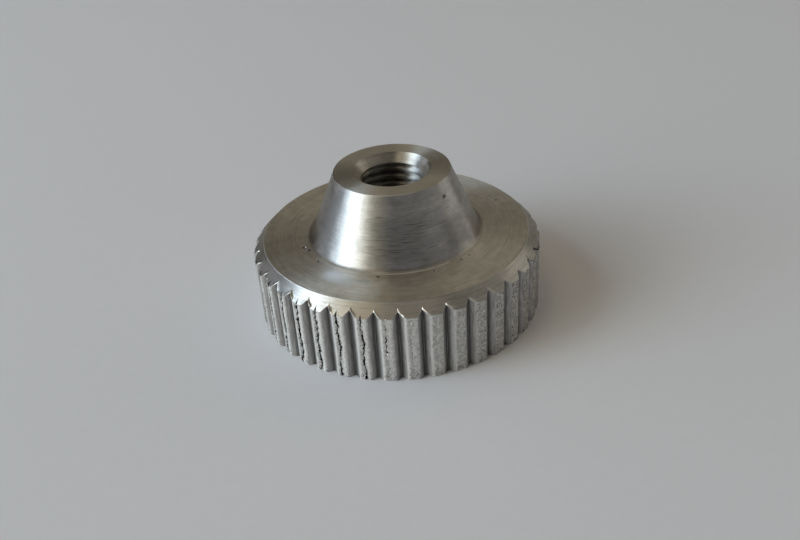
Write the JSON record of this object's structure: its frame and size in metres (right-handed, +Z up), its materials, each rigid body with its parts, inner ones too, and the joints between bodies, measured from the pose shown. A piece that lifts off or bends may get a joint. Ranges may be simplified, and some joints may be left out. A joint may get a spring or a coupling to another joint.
{
  "type": "carburetor nut",
  "caption": "Turned aluminium thumb nut: a knurled disc with a chamfered rim carries a conical boss, and a tapped bore runs through both.",
  "frame": {"origin": "on the bore's axis, at the flat underside of the knurled disc", "axes": "+Z up along the bore's axis, out of the boss; +X passes through the middle of a knurl crest"},
  "size_m": [0.033, 0.033, 0.0168],
  "materials": {
    "turned_aluminium": "bare metal as turned, with fine rings from the tool and a rolled straight knurl"
  },
  "bodies": {
    "root": {"knurled_nut": "turned_aluminium"}
  },
  "joints": []
}
